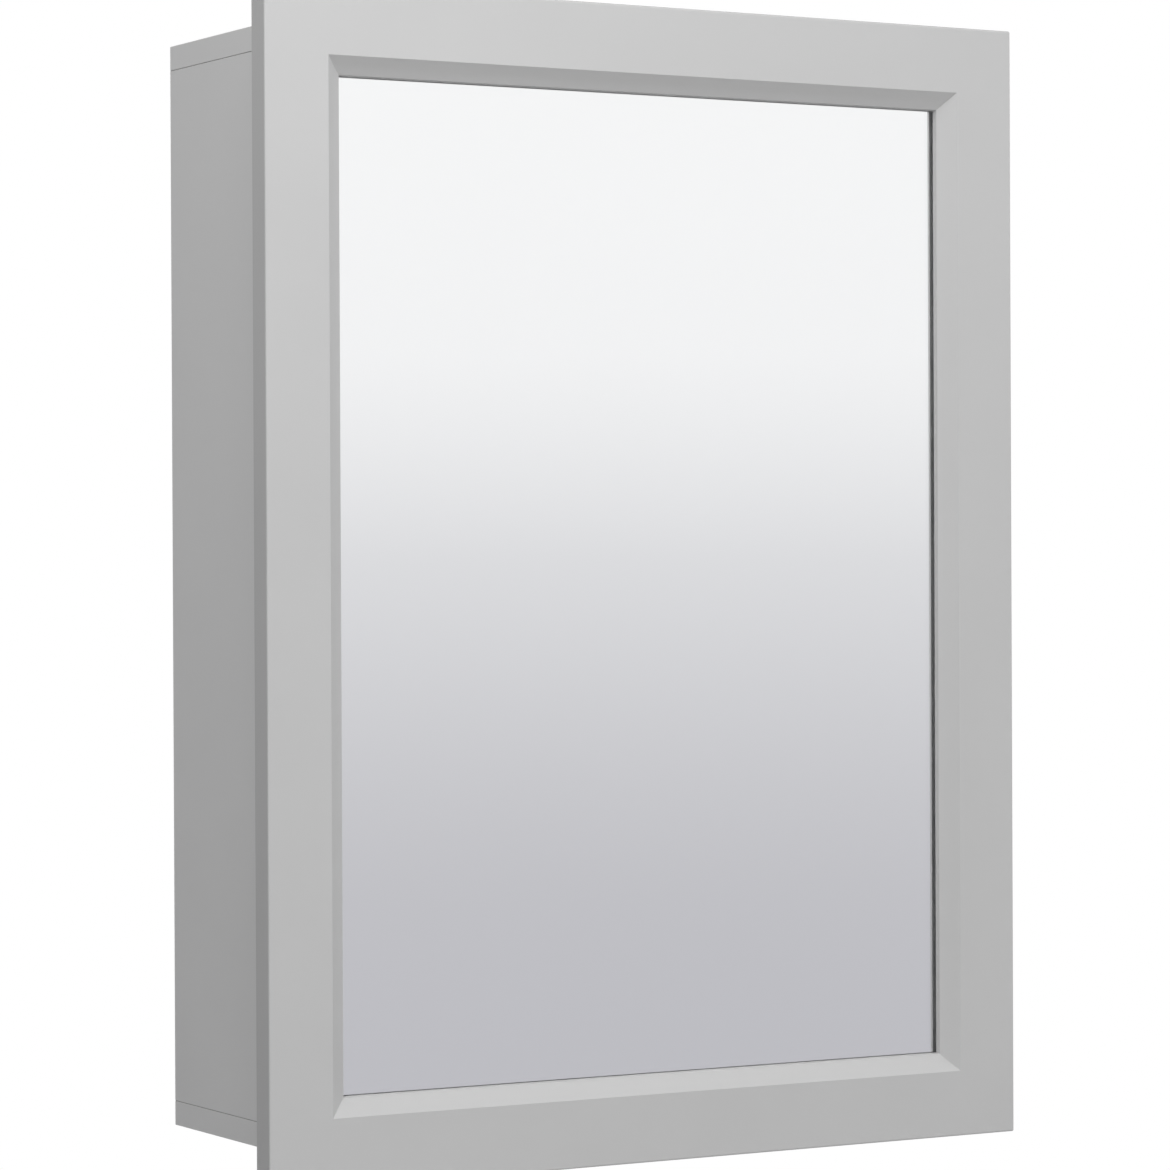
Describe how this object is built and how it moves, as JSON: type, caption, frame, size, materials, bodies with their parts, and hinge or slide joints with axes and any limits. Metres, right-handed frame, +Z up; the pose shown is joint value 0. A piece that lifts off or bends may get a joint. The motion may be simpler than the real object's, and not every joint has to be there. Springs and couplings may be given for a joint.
{
  "type": "bathroom mirror cabinet",
  "caption": "Wall-hung bathroom cabinet with a framed mirror door on side hinges, adjustable shelves inside and screw holes in its rear rails.",
  "frame": {"origin": "middle of the cabinet's back, on the wall's face", "axes": "+X to the right of someone facing the mirror, +Y into the wall, +Z up"},
  "size_m": [0.457, 0.152, 0.61],
  "materials": {
    "painted_board": "satin grey paint on MDF",
    "painted_hardboard": "satin grey paint on hardboard",
    "mirror_glass": "silvered float glass",
    "nickel_plated_steel": "nickel plate",
    "zinc_plated_steel": "zinc plate",
    "zinc_casting": "as-cast zinc",
    "beech": "bare beech",
    "white_plastic": "matt moulded",
    "ferrite": "sintered, matt",
    "clear_rubber": "clear silicone rubber"
  },
  "bodies": {
    "cabinet": {"top_panel": "painted_board", "bottom_panel": "painted_board", "left_side_panel": "painted_board", "right_side_panel": "painted_board", "back_panel": "painted_hardboard", "upper_rail": "painted_board", "lower_rail": "painted_board", "cam_bolts": "zinc_plated_steel", "cam_nuts": "zinc_casting", "dowels": "beech", "back_panel_nails": "zinc_plated_steel", "upper_shelf_pins": "nickel_plated_steel", "lower_shelf_pins": "nickel_plated_steel", "upper_hinge_carcass_leaf": "nickel_plated_steel", "lower_hinge_carcass_leaf": "nickel_plated_steel", "hinge_carcass_screws": "nickel_plated_steel", "catch_housing": "white_plastic", "catch_magnet": "ferrite", "catch_poles": "zinc_plated_steel", "catch_screws": "zinc_plated_steel", "bumpers": "clear_rubber"},
    "door": {"door_frame": "painted_board", "mirror_glass": "mirror_glass", "mirror_backing": "painted_hardboard", "backing_clips": "nickel_plated_steel", "backing_clip_screws": "zinc_plated_steel", "upper_hinge_door_leaf": "nickel_plated_steel", "lower_hinge_door_leaf": "nickel_plated_steel", "upper_hinge_pin": "nickel_plated_steel", "lower_hinge_pin": "nickel_plated_steel", "hinge_door_screws": "nickel_plated_steel", "strike_plate": "zinc_plated_steel", "strike_screws": "zinc_plated_steel"},
    "upper_shelf": {"upper_shelf": "painted_board"},
    "lower_shelf": {"lower_shelf": "painted_board"}
  },
  "joints": [
    {"name": "door_hinge", "type": "hinge", "parent": "cabinet", "child": "door", "pos_m": [-0.2145, -0.1341, 0], "axis": [0, 0, -1], "range_deg": [0, 110]},
    {"name": "upper_shelf_lift", "type": "slide", "parent": "cabinet", "child": "upper_shelf", "axis": [0, 0, 1], "range_m": [0, 0.03]},
    {"name": "lower_shelf_lift", "type": "slide", "parent": "cabinet", "child": "lower_shelf", "axis": [0, 0, 1], "range_m": [0, 0.03]}
  ]
}
